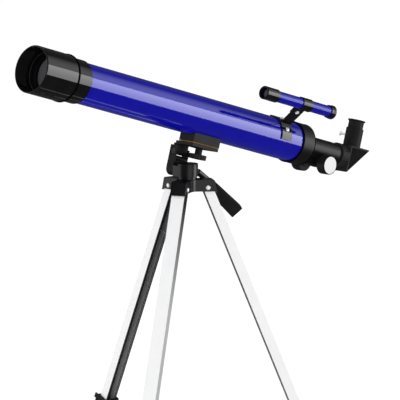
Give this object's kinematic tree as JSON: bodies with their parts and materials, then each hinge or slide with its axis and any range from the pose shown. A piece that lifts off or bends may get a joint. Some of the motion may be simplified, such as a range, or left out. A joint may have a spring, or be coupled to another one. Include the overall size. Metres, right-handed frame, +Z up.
{
  "type": "telescope on tripod",
  "caption": "Small refractor telescope with finder, rack focuser and star diagonal, on a folding tripod with a pan and tilt head.",
  "frame": {"origin": "centre of the bounding box on the floor that the feet stand on", "axes": "+Z up, -Y is the way the objective points, +X is across the tube, on the side of the near focus knob"},
  "size_m": [0.31, 0.6222, 0.5875],
  "materials": {
    "tube_blue": "deep blue gloss lacquer",
    "gloss_black": "black gloss enamel",
    "satin_black": "moulded black, satin",
    "moulded_black": "moulded black, glossy",
    "matt_black": "flat black",
    "leg_aluminium": "bright satin anodised",
    "bright_steel": "bright nickel plate",
    "dark_steel": "blackened steel",
    "brass": "machined",
    "lens_glass": "coated optical glass",
    "mirror": "front-silvered",
    "cork": "pressed cork",
    "foot_rubber": "matt rubber"
  },
  "bodies": {
    "tripod": {"hub": "satin_black", "leg_rivet_front": "bright_steel", "leg_rivet_rear": "bright_steel", "leg_rivet_far": "bright_steel"},
    "leg_front": {"leg_outer_front": "leg_aluminium", "leg_lock_front": "satin_black"},
    "lower_leg_front": {"leg_inner_front": "leg_aluminium", "foot_front": "foot_rubber"},
    "lever_front": {"lock_lever_front": "satin_black"},
    "leg_rear": {"leg_outer_rear": "leg_aluminium", "leg_lock_rear": "satin_black"},
    "lower_leg_rear": {"leg_inner_rear": "leg_aluminium", "foot_rear": "foot_rubber"},
    "lever_rear": {"lock_lever_rear": "satin_black"},
    "leg_far": {"leg_outer_far": "leg_aluminium", "leg_lock_far": "satin_black"},
    "lower_leg_far": {"leg_inner_far": "leg_aluminium", "foot_far": "foot_rubber"},
    "lever_far": {"lock_lever_far": "satin_black"},
    "pan": {"pan_base": "moulded_black", "tilt_bolt": "dark_steel"},
    "handle": {"pan_handle_rod": "dark_steel", "pan_handle_grip": "satin_black"},
    "tilt": {"tilt_arm": "moulded_black", "flip_screw": "dark_steel"},
    "telescope": {"camera_plate": "moulded_black", "cork_pad": "cork", "tube_saddle": "moulded_black", "main_tube": "tube_blue", "dew_shade": "gloss_black", "objective_cell": "gloss_black", "lens_retaining_ring": "matt_black", "crown_lens": "lens_glass", "flint_lens": "lens_glass", "focuser_housing": "gloss_black", "finder_tube": "tube_blue", "finder_shade": "gloss_black", "finder_objective": "lens_glass", "finder_eyepiece": "gloss_black", "finder_eye_lens": "lens_glass", "finder_ring": "gloss_black", "finder_bracket": "gloss_black", "finder_ring_screw": "bright_steel", "bracket_screw_near": "bright_steel", "bracket_screw_far": "bright_steel"},
    "camera_knob": {"camera_screw_knob": "moulded_black"},
    "focus": {"focus_shaft": "brass", "focus_knob_near": "satin_black", "focus_knob_far": "satin_black", "knob_cap_near": "bright_steel", "knob_cap_far": "bright_steel"},
    "drawtube": {"drawtube": "gloss_black"},
    "diagonal": {"diagonal_body": "moulded_black", "diagonal_mirror": "mirror", "eyepiece_holder": "gloss_black"},
    "thumbscrew": {"eyepiece_thumbscrew": "bright_steel"},
    "eyepiece": {"eyepiece": "gloss_black", "eye_lens": "lens_glass", "field_lens": "lens_glass"}
  },
  "joints": [
    {"name": "leg_splay_front", "type": "hinge", "parent": "tripod", "child": "leg_front", "pos_m": [0.05431, -0.05279, 0.38313], "axis": [-0.8838, -0.4679, 0], "range_deg": [-22, 0]},
    {"name": "leg_extend_front", "type": "slide", "parent": "leg_front", "child": "lower_leg_front", "axis": [0.1823, -0.3443, -0.921], "range_m": [-0.021, 0.21]},
    {"name": "lever_open_front", "type": "hinge", "parent": "leg_front", "child": "lever_front", "pos_m": [0.12222, -0.18104, 0.07035], "axis": [-0.8838, -0.4679, 0], "range_deg": [0, 110]},
    {"name": "leg_splay_rear", "type": "hinge", "parent": "tripod", "child": "leg_rear", "pos_m": [0.05601, -0.0064, 0.38313], "axis": [0.8471, -0.5314, 0], "range_deg": [-22, 0]},
    {"name": "leg_extend_rear", "type": "slide", "parent": "leg_rear", "child": "lower_leg_rear", "axis": [0.207, 0.33, -0.921], "range_m": [-0.021, 0.21]},
    {"name": "lever_open_rear", "type": "hinge", "parent": "leg_rear", "child": "lever_rear", "pos_m": [0.13313, 0.11653, 0.07035], "axis": [0.8471, -0.5314, 0], "range_deg": [0, 110]},
    {"name": "leg_splay_far", "type": "hinge", "parent": "tripod", "child": "leg_far", "pos_m": [0.01499, -0.02812, 0.38313], "axis": [0.0366, 0.9993, 0], "range_deg": [-22, 0]},
    {"name": "leg_extend_far", "type": "slide", "parent": "leg_far", "child": "lower_leg_far", "axis": [-0.3893, 0.0143, -0.921], "range_m": [-0.021, 0.21]},
    {"name": "lever_open_far", "type": "hinge", "parent": "leg_far", "child": "lever_far", "pos_m": [-0.13003, -0.0228, 0.07035], "axis": [0.0366, 0.9993, 0], "range_deg": [0, 110]},
    {"name": "pan_turn", "type": "hinge", "parent": "tripod", "child": "pan", "pos_m": [0.04177, -0.0291, 0.40513], "axis": [0, 0, 1], "range_deg": [-1, 57]},
    {"name": "handle_turn", "type": "hinge", "parent": "pan", "child": "handle", "pos_m": [0.04177, -0.0148, 0.40553], "axis": [0, 0.8151, -0.5793], "range_deg": [0, 540]},
    {"name": "tilt", "type": "hinge", "parent": "pan", "child": "tilt", "pos_m": [0.02177, -0.0338, 0.40613], "axis": [1, 0, 0], "range_deg": [-20, 40]},
    {"name": "plate_flip", "type": "hinge", "parent": "tilt", "child": "telescope", "pos_m": [0.02137, -0.01737, 0.42566], "axis": [0, 0.964, -0.2659], "range_deg": [-90, 0]},
    {"name": "camera_knob_turn", "type": "hinge", "parent": "telescope", "child": "camera_knob", "pos_m": [0.04177, -0.00994, 0.42517], "axis": [0, 0.2659, 0.964], "continuous": true},
    {"name": "focus_turn", "type": "hinge", "parent": "telescope", "child": "focus", "pos_m": [0.04177, 0.21583, 0.39484], "axis": [1, 0, 0], "range_deg": [-696, 383]},
    {"name": "drawtube_slide", "type": "slide", "parent": "telescope", "child": "drawtube", "axis": [0, 0.964, -0.2659], "range_m": [-0.022, 0.04]},
    {"name": "diagonal_turn", "type": "hinge", "parent": "drawtube", "child": "diagonal", "pos_m": [0.04177, 0.26817, 0.40032], "axis": [0, 0.964, -0.2659], "continuous": true},
    {"name": "thumbscrew_turn", "type": "hinge", "parent": "diagonal", "child": "thumbscrew", "pos_m": [0.04177, 0.29315, 0.42694], "axis": [-0.7071, -0.6817, 0.188], "continuous": true},
    {"name": "eyepiece_slide", "type": "slide", "parent": "diagonal", "child": "eyepiece", "axis": [0, 0.2659, 0.964], "range_m": [0, 0.03]}
  ],
  "couplings": [
    {"joint": "focus_turn", "follows": "drawtube_slide", "rad_per_m": -303.03}
  ]
}
